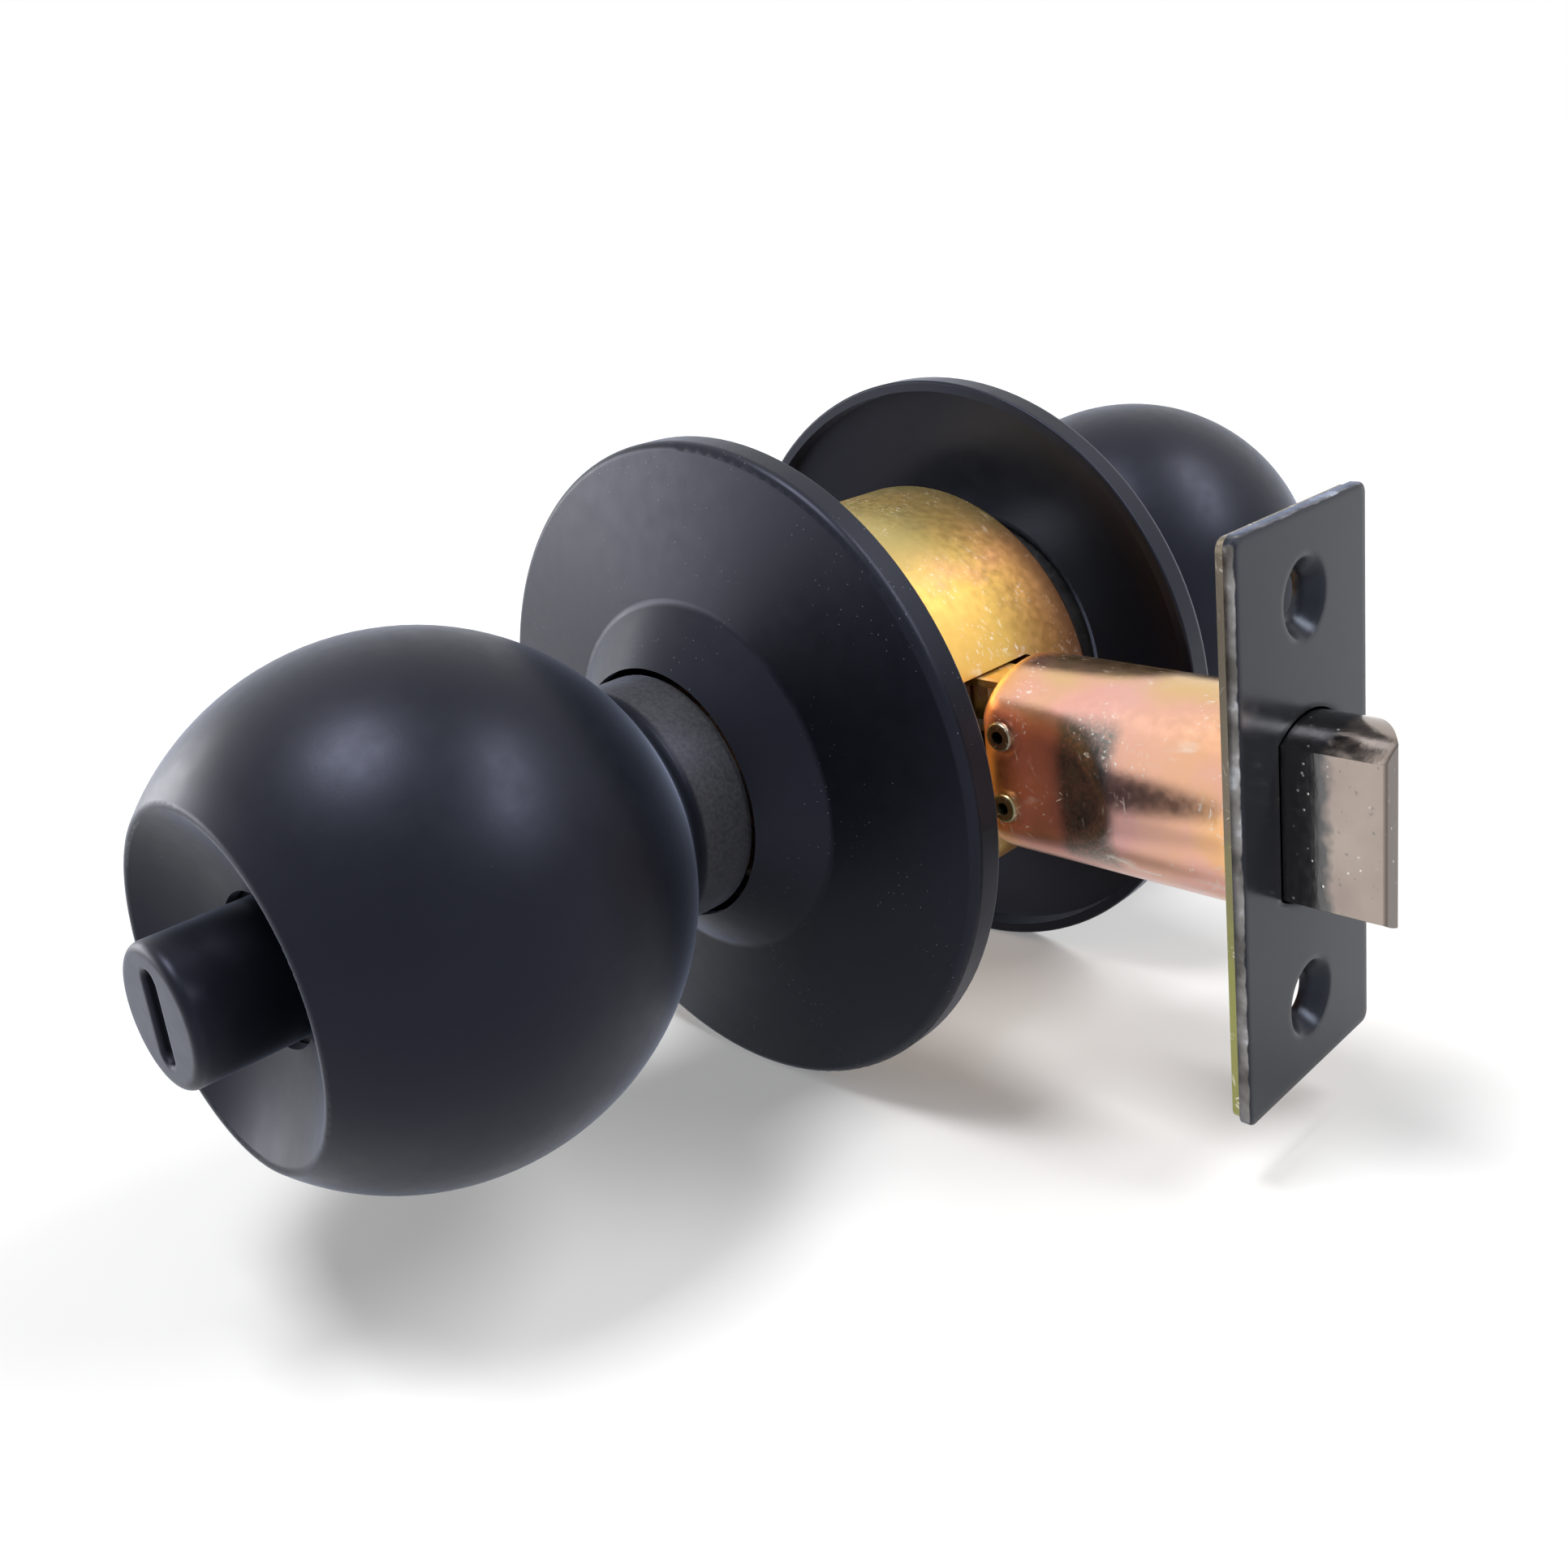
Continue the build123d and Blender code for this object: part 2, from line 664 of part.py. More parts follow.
# Latch bolt: bevelled head, round collar that stops behind the faceplate, and a shank
with BuildPart() as latch_bolt:
    extrude(bolt_section(collar_front, 0), amount=bolt_nose - collar_front)
    with BuildSketch(Plane.XY) as bolt_outline:
        with BuildLine():
            bevel_foot = (backset + bevel_start, bolt_far_flat)
            nose_edge = (bolt_nose, nose_width - bolt_near_flat)
            Polyline(
                nose_edge,
                (bolt_nose, -bolt_near_flat),
                (collar_front, -bolt_near_flat),
                (collar_front, bolt_far_flat),
                bevel_foot,
            )
            SagittaArc(bevel_foot, nose_edge, bevel_bulge)
        make_face()
        fillet(bolt_outline.vertices().group_by(Axis.X)[-1], bolt_round)
    extrude(amount=bolt_radius, both=True, mode=Mode.INTERSECT)
    with BuildSketch(Plane.YZ.offset(collar_back)):
        Circle(tube_radius - tube_wall - moving_gap)
    extrude(amount=collar_length)
    with BuildSketch(Plane.YZ.offset(shank_back)):
        Circle(shank_radius)
    extrude(amount=shank_length)
    with BuildSketch(Plane.YZ.offset(shank_back)):
        Rectangle(tail_thickness + 2 * slip_gap, tail_thickness + 2 * slip_gap)
    extrude(amount=tail_depth + slip_gap, mode=Mode.SUBTRACT)
    with BuildSketch(Plane.XY):
        with Locations((shank_back + tail_pin_inset, 0)):
            Circle(tail_pin_radius + running_gap)
    extrude(amount=shank_radius, both=True, mode=Mode.SUBTRACT)
save(latch_bolt, "latch_bolt")

# Tail that the retractor pulls, pinned into the shank of the bolt
with BuildPart() as latch_tail:
    with BuildSketch(across(-tail_thickness / 2)):
        with Locations((tail_head_back, 0)):
            Rectangle(tail_head_thickness, tail_head_height, align=FROM_LEFT)
            Rectangle(shank_back + tail_depth - tail_head_back, tail_thickness, align=FROM_LEFT)
    extrude(amount=tail_thickness, dir=(0, 1, 0))
    with BuildSketch(Plane.XY):
        with Locations((shank_back + tail_pin_inset, 0)):
            Circle(tail_pin_radius + running_gap)
    extrude(amount=tail_thickness, both=True, mode=Mode.SUBTRACT)
save(latch_tail, "latch_tail")

with BuildPart() as tail_pin:
    with BuildSketch(Plane.XY):
        with Locations((shank_back + tail_pin_inset, 0)):
            Circle(tail_pin_radius)
    extrude(amount=shank_radius - moving_gap, both=True)
save(tail_pin, "tail_pin")

make_spring(
    "latch_spring",
    (spring_seat, 0, 0),
    (shank_back, 0, 0),
    latch_spring_radius,
    latch_spring_wire,
    latch_spring_turns,
    (1, 0, 0),
)


def plate_blank(thickness, back, inset):
    """Upright plate on the latch axis with rounded corners and the opening for the bolt."""
    with BuildPart() as blank:
        with BuildSketch(Plane.YZ.offset(back)):
            RectangleRounded(plate_width - 2 * inset, plate_height - 2 * inset, plate_corner)
        extrude(amount=thickness)
        extrude(bolt_section(back, bolt_gap), amount=thickness, mode=Mode.SUBTRACT)
    return blank.part


screw_heights = (screw_spacing / 2, -screw_spacing / 2)
with BuildPart() as backing_plate:
    add(plate_blank(backing_thickness, backing_back, backing_inset))
    with BuildSketch(Plane.YZ.offset(backing_back)):
        with Locations(*((0, height) for height in screw_heights)):
            Circle(dimple_radius + dimple_wall + slip_gap)
    extrude(amount=backing_thickness, mode=Mode.SUBTRACT)
save(backing_plate, "backing_plate")

# Faceplate, with each screw hole pressed into a dimple
with BuildPart() as faceplate:
    add(plate_blank(plate_thickness, plate_back, 0))
    fillet(faceplate.faces().sort_by(Axis.X)[-1].outer_wire().edges(), plate_edge_round)
    with BuildSketch(Plane.YZ.offset(plate_back)):
        with Locations(*((0, height) for height in screw_heights)):
            Circle(dimple_radius + dimple_wall)
    extrude(amount=-dimple_depth, taper=dimple_taper)
    with Locations(Plane.YZ.offset(backset)):
        with Locations(*((0, height) for height in screw_heights)):
            CounterSinkHole(screw_hole_radius, dimple_radius, depth=plate_thickness + dimple_depth)
save(faceplate, "faceplate")
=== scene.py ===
import json
from math import pi, radians

import bpy
from mathutils import Matrix, Vector


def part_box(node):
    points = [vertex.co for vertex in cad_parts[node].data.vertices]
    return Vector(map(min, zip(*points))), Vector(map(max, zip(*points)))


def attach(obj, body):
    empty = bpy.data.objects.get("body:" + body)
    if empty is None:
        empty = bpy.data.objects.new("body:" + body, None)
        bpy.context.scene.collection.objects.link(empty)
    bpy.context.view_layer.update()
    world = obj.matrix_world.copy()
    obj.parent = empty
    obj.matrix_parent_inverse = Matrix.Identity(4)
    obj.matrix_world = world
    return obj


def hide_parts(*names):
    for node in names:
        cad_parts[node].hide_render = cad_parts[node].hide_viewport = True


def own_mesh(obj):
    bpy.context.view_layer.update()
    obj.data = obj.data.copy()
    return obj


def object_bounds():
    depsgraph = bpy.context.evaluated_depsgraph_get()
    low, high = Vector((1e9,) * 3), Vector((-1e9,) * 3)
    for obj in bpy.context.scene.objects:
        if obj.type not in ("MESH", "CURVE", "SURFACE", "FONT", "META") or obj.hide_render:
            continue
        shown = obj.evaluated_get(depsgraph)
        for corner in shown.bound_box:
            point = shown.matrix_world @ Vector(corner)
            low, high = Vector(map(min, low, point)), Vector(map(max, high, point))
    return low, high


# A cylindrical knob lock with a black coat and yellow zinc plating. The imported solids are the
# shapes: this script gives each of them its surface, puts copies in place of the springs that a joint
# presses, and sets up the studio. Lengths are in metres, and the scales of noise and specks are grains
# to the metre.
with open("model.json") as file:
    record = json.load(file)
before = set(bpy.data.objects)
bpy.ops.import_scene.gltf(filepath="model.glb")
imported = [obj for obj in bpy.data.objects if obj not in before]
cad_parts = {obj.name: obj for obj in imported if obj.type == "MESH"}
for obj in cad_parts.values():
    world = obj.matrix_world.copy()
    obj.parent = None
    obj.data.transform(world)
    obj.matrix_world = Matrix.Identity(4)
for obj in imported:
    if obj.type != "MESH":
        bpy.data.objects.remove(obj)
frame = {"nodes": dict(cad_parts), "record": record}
cad_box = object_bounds()

# Camera, fitted to the photograph
CAMERA_AZIMUTH = radians(44.425)
CAMERA_ELEVATION = radians(17.28)
CAMERA_ROLL = radians(-5.927)
CAMERA_DISTANCE = 0.187789
CAMERA_TARGET = Vector((0.0020344, 0.0, 0.0060848))
CAMERA_LENS = 36.2226           # in millimetres, as the sensor is
CAMERA_SENSOR = 36.0
CAMERA_SHIFT = (-0.047257, -0.076364)
CAMERA_CLIP = 0.005

# Studio
WORLD_LIGHT = 0.25              # on the object, below the white that the background shows
FLOOR_SIZE = 12.0
FLOOR_GLOW = (0.2, 1.0)         # beside the object and far from it, so that the floor stays white
GLOW_REACH = (0.1, 1.2)         # where the glow starts to grow and where it is full

# Surfaces
NOISE_SPREAD = (0.3, 0.7)       # most values of a noise lie between these
DRIFT_SPREAD = (0.25, 0.75)     # and nearly all of them between these
RELIEF = 0.0001                 # depth of the grain
DUST = (0.20, 0.21, 0.23)
SCUFF = (0.88, 0.85, 0.76)
SCUFF_METALLIC = 0.4            # share of the plating's metallic look that a scuff keeps
MIX_FIRST, MIX_SECOND, MIX_RESULT = 6, 7, 2     # the sockets of a Mix node that hold colours

# Radii of the edges that are only shaded as round: dimples, the tube's flats, the button's slot
DIMPLE_EDGE = 0.0012
FLAT_EDGE = 0.002
SLOT_EDGE = 0.0005

# Where a tint starts to change and where it has changed. On top of the drum the olive tint is a painted
# reflection, and on the mounting plate the dark tints are painted shade
DRUM_TINTS = (-0.016, 0.016)    # along the drum
DRUM_TOP = (0.017, 0.024)       # up the drum
PLATE_SHADE_AND_TINTS = (0.02, 0.03)      # out from the knob axis, on the mounting plate
TUBE_TOP = (0.0085, 0.0110)     # up the latch tube
OLIVE_TINTS = (0.004, -0.012)   # down the eyelets and the backing plate

# Where the faceplate's bare wear, the bolt's painted reflection and its dark nose start to show and
# where they are full
BARE_EDGE = (0.00018, 0.00008)  # in from the edge of the faceplate
BOLT_FOOT_REFLECTION = (0.0052, 0.0042)    # out from the front of the faceplate
BOLT_NOSE = (0.0004, 0.0001)    # back from the end of the bolt

# Box round the end of the latch tube's flats, where a dark reflection is painted on its plating, and its
# soft edge
TUBE_PAINTED_REFLECTION = ((0.0365, -0.012, -0.0080), (0.0450, 0.012, 0.0085))
PAINTED_REFLECTION_EDGE = 0.0015

# Boxes where the black coat is greyed, each with its grey, and their soft edge: at the neck wear that is
# partly a painted highlight, in the button's slot painted light against the slot's shade
NECK_RUB_AND_HIGHLIGHT = ((-0.016, -0.036, -0.016), (0.016, -0.018, 0.016), (0.060, 0.060, 0.066))
SLOT_PAINTED_LIGHT = ((-0.0013, -0.08575, -0.0046), (0.0013, -0.084, 0.0046), (0.050, 0.053, 0.060))
WEAR_AND_LIGHT_EDGE = 0.0005

# Plated pieces that are duller than the rest
OLIVE_NODES = (
    "backing_plate",
    "near_upper_eyelet",
    "near_lower_eyelet",
    "far_upper_eyelet",
    "far_lower_eyelet",
)


class Surface:
    """A material with one main shader, and short ways to add nodes to it."""

    def __init__(self, name, **sockets):
        self.material = bpy.data.materials.new(name)
        self.material.use_nodes = True
        self.tree = self.material.node_tree
        self.shader = self.tree.nodes["Principled BSDF"]
        self.place = self.node("ShaderNodeTexCoord").outputs["Object"]
        for socket, value in sockets.items():
            self.set(socket.replace("_", " "), value)

    def set(self, socket, value):
        """One of the shader's sockets, by its name."""
        self.feed(self.shader.inputs[socket], value)

    def feed(self, socket, value):
        """A socket takes a number, a vector, a colour or another node's output."""
        if isinstance(value, bpy.types.NodeSocket):
            self.tree.links.new(value, socket)
        elif isinstance(value, tuple) and socket.type == "RGBA":
            socket.default_value = (*value, 1.0)
        else:
            socket.default_value = value

    def node(self, kind, inputs=(), **settings):
        """A new node with its settings made and its inputs fed."""
        node = self.tree.nodes.new(kind)
        for setting, value in settings.items():
            setattr(node, setting, value)
        for socket, value in dict(inputs).items():
            self.feed(node.inputs[socket], value)
        return node

    def math(self, operation, *values):
        """The result of an operation on numbers."""
        return self.node("ShaderNodeMath", dict(enumerate(values)), operation=operation).outputs[0]

    def span(self, value, start, end, low=0.0, high=1.0):
        """A value that goes from low at start to high at end, and no further."""
        inputs = {"Value": value, "From Min": start, "From Max": end, "To Min": low, "To Max": high}
        return self.node("ShaderNodeMapRange", inputs).outputs["Result"]

    def mix(self, factor, first, second):
        """The first colour where the factor is 0, and the second where it is 1."""
        inputs = {"Factor": factor, MIX_FIRST: first, MIX_SECOND: second}
        return self.node("ShaderNodeMix", inputs, data_type="RGBA").outputs[MIX_RESULT]

    def ramp(self, value, *stops):
        """Colours along a value, each with its place."""
        node = self.node("ShaderNodeValToRGB", {"Fac": value})
        points = node.color_ramp.elements
        while len(points) < len(stops):
            points.new(0.5)
        for point, (place, colour) in zip(points, stops):
            point.position = place
            point.color = (*colour, 1.0)
        return node.outputs["Color"]

    def axis(self, letter):
        """A place's X, Y or Z."""
        return self.node("ShaderNodeSeparateXYZ", {0: self.place}).outputs[letter]

    def length(self, vector):
        """A vector's length, which for a place is its distance from the origin."""
        return self.node("ShaderNodeVectorMath", {0: vector}, operation="LENGTH").outputs["Value"]

    def radius(self):
        """A place's distance from the knob axis."""
        inputs = {0: self.place, 1: (1, 0, 1)}
        return self.length(self.node("ShaderNodeVectorMath", inputs, operation="MULTIPLY").outputs[0])

    def within(self, low, high, edge):
        """1 inside a box, and 0 outside it, with a soft edge."""
        inside = 1.0
        for letter, start, end in zip("XYZ", low, high):
            place = self.axis(letter)
            for side, inner in ((start, start + edge), (end, end - edge)):
                inside = self.math("MULTIPLY", inside, self.span(place, side, inner))
        return inside

    def noise(self, scale, detail=2.0, stretch=(1.0, 1.0, 1.0), turn=(0.0, 0.0, 0.0)):
        """Noise, turned and drawn out along its own axes."""
        inputs = {"Vector": self.place, "Scale": stretch, "Rotation": turn}
        mapped = self.node("ShaderNodeMapping", inputs, vector_type="TEXTURE")
        inputs = {"Vector": mapped.outputs[0], "Scale": scale, "Detail": detail}
        return self.node("ShaderNodeTexNoise", inputs).outputs["Fac"]

    def patches(self, start, end, most=1.0, **noise):
        """0 where noise is under start, and most where it is over end."""
        return self.span(self.noise(**noise), start, end, high=most)

    def vary(self, low, high, scale, detail=3.0):
        """A number that noise moves between two values."""
        return self.span(self.noise(scale, detail), *NOISE_SPREAD, low, high)

    def mottle(self, dark, light, scale, detail=4.0):
        """A colour that noise moves between two others."""
        start, end = NOISE_SPREAD
        return self.ramp(self.noise(scale, detail), (start, dark), (end, light))

    def wander(self, value, scale, amount):
        """A value that noise moves up or down by an amount at most."""
        drift = self.span(self.noise(scale), *DRIFT_SPREAD, -amount, amount)
        return self.math("ADD", value, drift)

    def specks(self, scale, size):
        """Small round spots, one at most in each cell."""
        inputs = {"Vector": self.place, "Scale": scale}
        cell = self.node("ShaderNodeTexVoronoi", inputs).outputs["Distance"]
        return self.span(cell, size, size / 2)

    def bump(self, height, strength, soften=0.0):
        """Fine relief, on edges that are shaded as if rounded by a radius."""
        inputs = {"Height": height, "Strength": strength, "Distance": RELIEF}
        if soften:
            inputs["Normal"] = self.node("ShaderNodeBevel", {"Radius": soften}).outputs["Normal"]
        self.set("Normal", self.node("ShaderNodeBump", inputs).outputs["Normal"])


def black_coat(name, dust=0.04, worn=(), soften=0.0):
    """Satin black coat with a blue cast. More dust gives more specks, and each box in worn is greyed,
    for wear and for painted light.
    """
    coat = Surface(
        name,
        Specular_IOR_Level=0.24,
        Specular_Tint=(0.66, 0.70, 1.0),
        Sheen_Weight=0.30,
        Sheen_Roughness=0.3,
        Sheen_Tint=(0.62, 0.72, 1.0),
    )
    tone = coat.mottle((0.0025, 0.003, 0.005), (0.004, 0.0046, 0.007), scale=70)
    # The neck's grey box is wear and partly a painted highlight; the slot's is painted light against the
    # shade in it
    for low, high, grey in worn:
        grain = coat.vary(0.4, 0.8, scale=2200, detail=4)
        wear_and_light = coat.math("MULTIPLY", coat.within(low, high, WEAR_AND_LIGHT_EDGE), grain)
        tone = coat.mix(wear_and_light, tone, grey)
    dusty = coat.patches(0.72 - dust, 0.78 - dust, scale=110, detail=3)
    specks = coat.math("MULTIPLY", coat.specks(scale=1500, size=0.10), dusty)
    coat.set("Base Color", coat.mix(specks, tone, DUST))
    coat.set("Roughness", coat.vary(0.36, 0.42, scale=500))
    coat.bump(coat.noise(scale=3500, detail=3), strength=0.05, soften=soften)
    return coat.material


def scuffs(zinc):
    """A few wide scuffs and long scratches, and patches of short hairline ones."""
    wide = zinc.patches(0.62, 0.72, scale=420, detail=5, stretch=(2.9, 1.0, 1.0))
    some = zinc.math("MULTIPLY", wide, zinc.patches(0.46, 0.60, most=0.8, scale=90))
    long = zinc.patches(0.73, 0.77, scale=260, stretch=(25.0, 1.0, 1.0), turn=(0.0, 0.7, 0.5))
    marks = zinc.math("MAXIMUM", some, long)
    handled = zinc.patches(0.46, 0.60, most=0.7, scale=150)
    for turn in ((0.0, 0.5, 0.3), (0.0, -0.6, -0.4), (0.0, 1.4, 0.2)):
        hairs = zinc.patches(0.65, 0.73, scale=2200, stretch=(9.0, 1.0, 1.0), turn=turn)
        marks = zinc.math("MAXIMUM", marks, zinc.math("MULTIPLY", hairs, handled))
    return marks


def finish_zinc(zinc, colour, metallic, roughness, soften=0.0):
    """The sheen and the scuffs that all the plated pieces share, over their colour."""
    marks = scuffs(zinc)
    zinc.set("Base Color", zinc.mix(marks, colour, SCUFF))
    zinc.set("Metallic", zinc.span(marks, 0.0, 1.0, metallic, SCUFF_METALLIC * metallic))
    zinc.set("Roughness", zinc.vary(roughness, roughness + 0.08, scale=900))
    zinc.bump(zinc.noise(scale=1800), strength=0.03, soften=soften)
    return zinc.material


def yellow_zinc():
    """Plating of the chassis: brown at the inside end, yellow, then orange, and olive on top, where a
    dark reflection of the rear rose is painted.
    """
    zinc = Surface("yellow_zinc")
    colour = zinc.ramp(
        zinc.span(zinc.wander(zinc.axis("Y"), scale=45, amount=0.004), *DRUM_TINTS),
        (0.08, (0.10, 0.07, 0.05)),
        (0.25, (0.78, 0.47, 0.12)),
        (0.62, (0.80, 0.51, 0.13)),
        (0.80, (0.79, 0.41, 0.14)),
        (1.00, (0.76, 0.36, 0.19)),
    )
    patches = zinc.patches(0.48, 0.68, most=0.7, scale=130, detail=4)
    mottled = zinc.mix(patches, colour, (0.80, 0.38, 0.20))
    # Painted dark reflection of the rear rose: olive over the top of the drum
    top = zinc.span(zinc.wander(zinc.axis("Z"), scale=60, amount=0.003), *DRUM_TOP)
    olive_reflected_top = zinc.mix(top, mottled, (0.52, 0.42, 0.15))
    return finish_zinc(zinc, olive_reflected_top, metallic=0.85, roughness=0.28)


def copper_zinc():
    """Plating of the mounting plate, away from the drum: near-black brown, copper, then dark olive. The
    near-black and the dark olive are painted shade, mirrored in the latch tube.
    """
    zinc = Surface("copper_zinc")
    # Near-black by the drum and dark olive far out: painted shade, for the latch tube to mirror; copper
    # lies between
    colour = zinc.ramp(
        zinc.span(zinc.wander(zinc.radius(), scale=60, amount=0.0006), *PLATE_SHADE_AND_TINTS),
        (0.20, (0.06, 0.05, 0.04)),
        (0.33, (0.86, 0.46, 0.36)),
        (0.60, (0.80, 0.46, 0.27)),
        (0.85, (0.36, 0.29, 0.12)),
        (1.00, (0.20, 0.17, 0.09)),
    )
    return finish_zinc(zinc, colour, metallic=0.6, roughness=0.36)


def pink_zinc():
    """Plating of the latch tube: pink, orange at both ends, yellow on top, and a painted dark reflection
    where its flats end.
    """
    zinc = Surface("pink_zinc")
    low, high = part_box("latch_tube")
    colour = zinc.ramp(
        zinc.span(zinc.wander(zinc.axis("X"), scale=70, amount=0.005), low.x, high.x),
        (0.04, (0.88, 0.44, 0.18)),
        (0.16, (0.86, 0.43, 0.35)),
        (0.62, (0.83, 0.47, 0.39)),
        (0.92, (0.84, 0.47, 0.23)),
    )
    patches = zinc.patches(0.5, 0.7, most=0.6, scale=120, detail=3)
    mottled = zinc.mix(patches, colour, (0.80, 0.42, 0.44))
    top = zinc.span(zinc.wander(zinc.axis("Z"), scale=90, amount=0.003), *TUBE_TOP, high=0.6)
    yellow_top = zinc.mix(top, mottled, (0.74, 0.54, 0.20))
    # Painted dark reflection, grainy, over the end of the flats
    grain = zinc.span(zinc.noise(scale=2600, detail=4), 0.3, 0.6, low=0.5)
    painted_reflection = zinc.math("MULTIPLY", zinc.within(*TUBE_PAINTED_REFLECTION, PAINTED_REFLECTION_EDGE), grain)
    with_painted_reflection = zinc.mix(painted_reflection, yellow_top, (0.29, 0.27, 0.25))
    return finish_zinc(zinc, with_painted_reflection, metallic=0.96, roughness=0.14, soften=FLAT_EDGE)


def olive_zinc():
    """Dull plating of the eyelets and the backing plate, more yellow lower down."""
    zinc = Surface("olive_zinc")
    down = zinc.span(zinc.wander(zinc.axis("Z"), scale=300, amount=0.004), *OLIVE_TINTS)
    colour = zinc.ramp(down, (0.0, (0.20, 0.17, 0.13)), (1.0, (0.27, 0.27, 0.10)))
    return finish_zinc(zinc, colour, metallic=1.0, roughness=0.25)


def dark_plate():
    """Dark gloss coat on the faceplate, worn to bare metal along its edges."""
    plate = Surface("dark_plate", Specular_IOR_Level=0.25, Specular_Tint=(0.66, 0.75, 1.0))
    low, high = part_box("faceplate")
    half_width = (high.y - low.y) / 2
    half_height = (high.z - low.z) / 2
    from_side = plate.math("SUBTRACT", half_width, plate.math("ABSOLUTE", plate.axis("Y")))
    from_end = plate.math("SUBTRACT", half_height, plate.math("ABSOLUTE", plate.axis("Z")))
    from_edge = plate.math("MINIMUM", from_side, from_end)
    worn = plate.span(plate.wander(from_edge, scale=500, amount=0.0001), *BARE_EDGE)
    coat = plate.mottle((0.010, 0.011, 0.015), (0.016, 0.017, 0.022), scale=60)
    bare = plate.ramp(
        plate.noise(scale=260, detail=4),
        (0.40, (0.10, 0.095, 0.09)),
        (0.58, (0.24, 0.23, 0.23)),
        (0.70, (0.55, 0.58, 0.63)),
    )
    plate.set("Base Color", plate.mix(worn, coat, bare))
    plate.set("Metallic", worn)
    plate.set("Roughness", plate.vary(0.17, 0.24, scale=800))
    plate.bump(plate.noise(scale=3000, detail=3), strength=0.03, soften=DIMPLE_EDGE)
    return plate.material


def nickel():
    """Nickel plated bolt with drawn lines, pits and small bright dents, dark at its nose, and with a
    painted dark reflection of the faceplate at its foot.
    """
    bolt = Surface("nickel", Metallic=1.0)
    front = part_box("faceplate")[1].x
    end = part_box("latch_bolt")[1].x
    wavy = bolt.wander(bolt.axis("X"), scale=500, amount=0.0006)
    # Painted dark reflection of the faceplate on the bolt's foot
    foot = bolt.span(wavy, *(front + distance for distance in BOLT_FOOT_REFLECTION))
    nose = bolt.span(bolt.axis("X"), *(end - distance for distance in BOLT_NOSE))
    tone = bolt.mottle((0.32, 0.265, 0.235), (0.39, 0.33, 0.29), scale=160)
    painted_foot_reflection = bolt.mix(foot, tone, (0.13, 0.128, 0.13))
    dark_ends = bolt.mix(nose, painted_foot_reflection, (0.13, 0.107, 0.095))
    pits = bolt.patches(0.64, 0.70, most=0.7, scale=1300, detail=4)
    pitted = bolt.mix(pits, dark_ends, (0.22, 0.20, 0.19))
    places = bolt.math("MAXIMUM", bolt.patches(0.52, 0.60, scale=260, detail=3), foot)
    dents = bolt.math("MULTIPLY", bolt.specks(scale=900, size=0.16), places)
    bolt.set("Base Color", bolt.mix(dents, pitted, (0.85, 0.82, 0.78)))
    bolt.set("Roughness", bolt.vary(0.10, 0.20, scale=900))
    lines = bolt.noise(scale=1500, detail=3, stretch=(1.0, 1.0, 4.0))
    bolt.bump(bolt.math("ADD", lines, dents), strength=0.12)
    return bolt.material


def plain_metal(name, dark, light, roughness, grain):
    """Bare inner metal: an uneven tone and a fine grain."""
    metal = Surface(name, Metallic=1.0)
    metal.set("Base Color", metal.mottle(dark, light, scale=180))
    metal.set("Roughness", metal.vary(roughness, roughness + 0.15, scale=grain))
    metal.bump(metal.noise(scale=grain, detail=3), strength=0.1)
    return metal.material


def dress():
    """Gives each node a surface of its own, or else the one of its slot in the record."""
    finishes = {
        "black_coat": black_coat("black_coat"),
        "yellow_zinc": yellow_zinc(),
        "dark_plate": dark_plate(),
        "nickel": nickel(),
        "zinc_steel": plain_metal(
            "zinc_steel", (0.42, 0.43, 0.44), (0.56, 0.57, 0.58), roughness=0.3, grain=1200
        ),
        "spring_steel": plain_metal(
            "spring_steel", (0.30, 0.30, 0.31), (0.44, 0.44, 0.45), roughness=0.28, grain=1500
        ),
        "cast_zinc": plain_metal(
            "cast_zinc", (0.36, 0.37, 0.38), (0.48, 0.49, 0.50), roughness=0.5, grain=700
        ),
    }
    own = {
        "inside_rose": black_coat("dusty_coat", dust=0.2),
        # The neck's grey is wear and partly a painted highlight; the slot's grey is painted light
        # against the shade in the slot
        "inside_knob_shell": black_coat("knob_coat", worn=[NECK_RUB_AND_HIGHLIGHT]),
        "lock_button": black_coat("button_coat", worn=[SLOT_PAINTED_LIGHT], soften=SLOT_EDGE),
        "mounting_plate": copper_zinc(),
        "latch_tube": pink_zinc(),
        **dict.fromkeys(OLIVE_NODES, olive_zinc()),
    }
    for subpart in frame["record"]["subparts"]:
        node = subpart["node"]
        slots = frame["nodes"][node].data.materials
        slots.clear()
        slots.append(own.get(node, finishes[subpart["material_slot"]]))


def add_springs():
    """Coils in place of the rigid springs that a joint presses, each on the body that carries it, with a
    mesh of its own.
    """
    behaviour = frame["record"]["behaviour"]
    carriers = {node: body for body, nodes in behaviour["bodies"].items() for node in nodes}
    for joint in behaviour["joints"]:
        for pressed in joint.get("deforming_nodes", ()):
            node = pressed["node"]
            coil = bpy.data.objects.new(f"{node}_coil", frame["nodes"][node].data.copy())
            bpy.context.collection.objects.link(coil)
            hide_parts(node)
            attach(coil, carriers[node])
            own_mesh(coil)


def seen_rays(tree):
    """1 on rays that show the background: from the camera, in reflections and through glass."""
    path = tree.nodes.new("ShaderNodeLightPath")
    seen = path.outputs["Is Camera Ray"]
    for kind in ("Is Glossy Ray", "Is Transmission Ray"):
        either = tree.nodes.new("ShaderNodeMath")
        either.operation = "MAXIMUM"
        tree.links.new(seen, either.inputs[0])
        tree.links.new(path.outputs[kind], either.inputs[1])
        seen = either.outputs[0]
    return seen


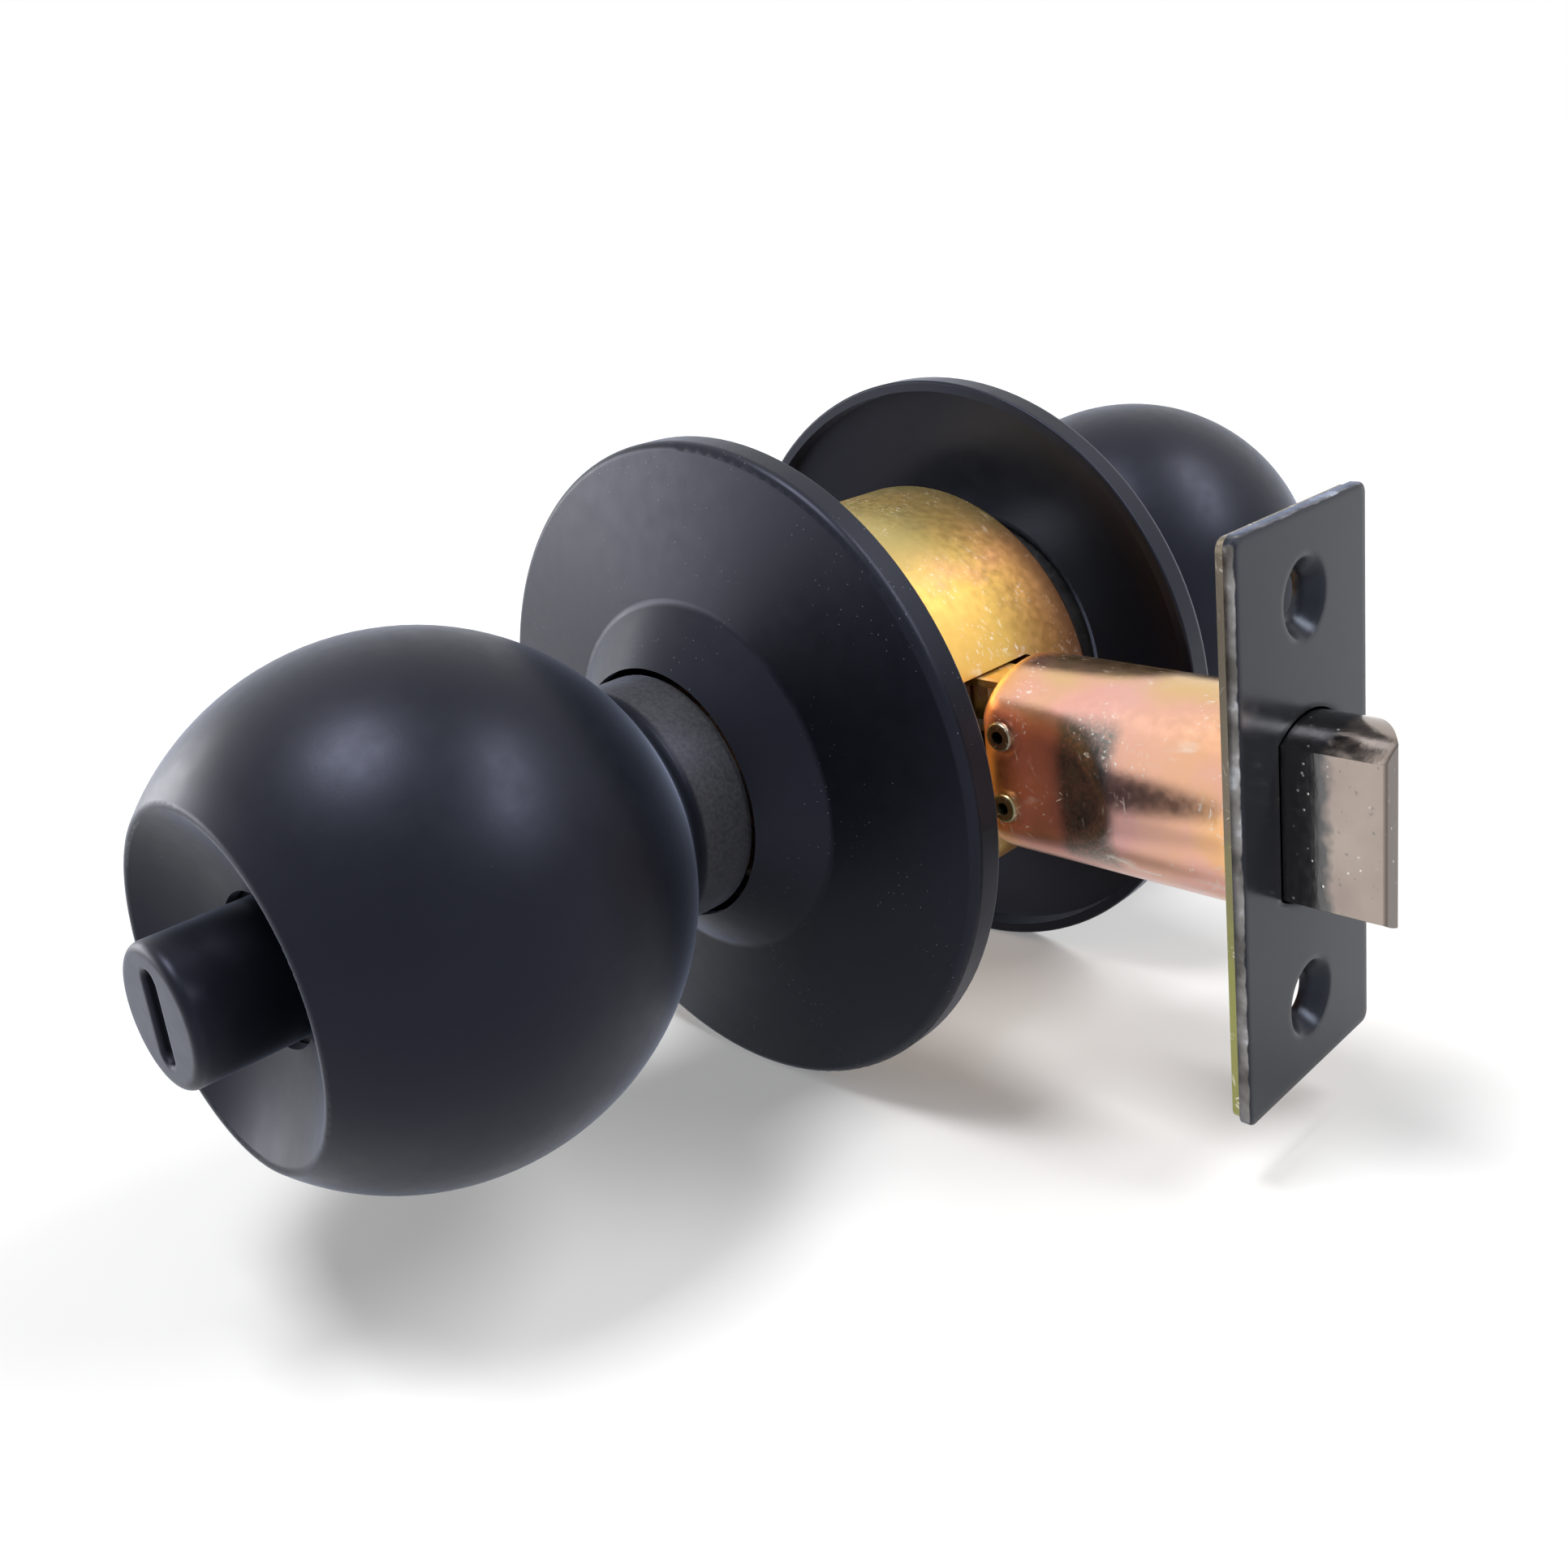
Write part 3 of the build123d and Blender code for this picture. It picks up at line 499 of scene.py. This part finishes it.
def set_world():
    """White to look at, and a softer light on the object."""
    world = bpy.data.worlds.new("studio")
    world.use_nodes = True
    tree = world.node_tree
    level = tree.nodes.new("ShaderNodeMapRange")
    level.inputs["To Min"].default_value = WORLD_LIGHT
    tree.links.new(seen_rays(tree), level.inputs["Value"])
    background = tree.nodes["Background"]
    background.inputs["Color"].default_value = (1.0, 1.0, 1.0, 1.0)
    tree.links.new(level.outputs["Result"], background.inputs["Strength"])
    bpy.context.scene.world = world


def add_floor():
    """Pale floor under the object, which glows where the lamps fall off, so that it meets the white."""
    bpy.ops.mesh.primitive_plane_add(size=FLOOR_SIZE, location=(0, 0, cad_box[0][2]))
    floor = bpy.context.object
    floor.name = "floor"
    pale = Surface(
        "pale_floor", Roughness=0.9, Specular_IOR_Level=0.0, Emission_Color=(1.0, 1.0, 1.0)
    )
    pale.set("Base Color", pale.mottle((0.61, 0.61, 0.61), (0.63, 0.63, 0.63), scale=30, detail=2))
    glow = pale.span(pale.length(pale.place), *GLOW_REACH, *FLOOR_GLOW)
    pale.set("Emission Strength", pale.math("MULTIPLY", seen_rays(pale.tree), glow))
    floor.data.materials.append(pale.material)


def add_softbox(name, direction, distance, size, power, turn=0.0):
    """Area lamp that faces the object from a direction, turned about that direction."""
    lamp = bpy.data.lights.new(name, "AREA")
    lamp.shape = "RECTANGLE"
    lamp.size, lamp.size_y = size
    lamp.energy = power
    holder = bpy.data.objects.new(name, lamp)
    towards = Vector(direction).normalized()
    facing = towards.to_track_quat("Z", "Y").to_matrix().to_4x4()
    turned = facing @ Matrix.Rotation(turn, 4, "Z")
    holder.matrix_world = Matrix.Translation(towards * distance) @ turned
    bpy.context.collection.objects.link(holder)


def add_camera():
    """Camera at the photograph's viewing angle and framing."""
    camera = bpy.data.cameras.new("camera")
    camera.lens = CAMERA_LENS
    camera.sensor_width = CAMERA_SENSOR
    camera.shift_x, camera.shift_y = CAMERA_SHIFT
    camera.clip_start = CAMERA_CLIP
    holder = bpy.data.objects.new("camera", camera)
    tilt = Matrix.Rotation(pi / 2 - CAMERA_ELEVATION, 4, "X")
    heading = Matrix.Rotation(CAMERA_AZIMUTH, 4, "Z") @ tilt
    back = heading @ Vector((0, 0, CAMERA_DISTANCE))
    turned = heading @ Matrix.Rotation(CAMERA_ROLL, 4, "Z")
    holder.matrix_world = Matrix.Translation(CAMERA_TARGET + back) @ turned
    bpy.context.collection.objects.link(holder)
    bpy.context.scene.camera = holder


dress()
add_springs()
set_world()
add_floor()
add_softbox(
    "front_softbox", direction=(-0.05, -0.25, 0.96), distance=0.9, size=(0.34, 0.29), power=7.2
)
add_softbox(
    "right_strip",
    direction=(0.53, 0.37, 0.74),
    distance=0.9,
    size=(0.64, 0.19),
    power=5.9,
    turn=radians(43),
)
add_softbox(
    "left_card", direction=(-0.86, -0.47, 0.18), distance=0.8, size=(0.60, 0.30), power=4.2
)
add_camera()
bpy.context.scene.view_settings.view_transform = "Standard"
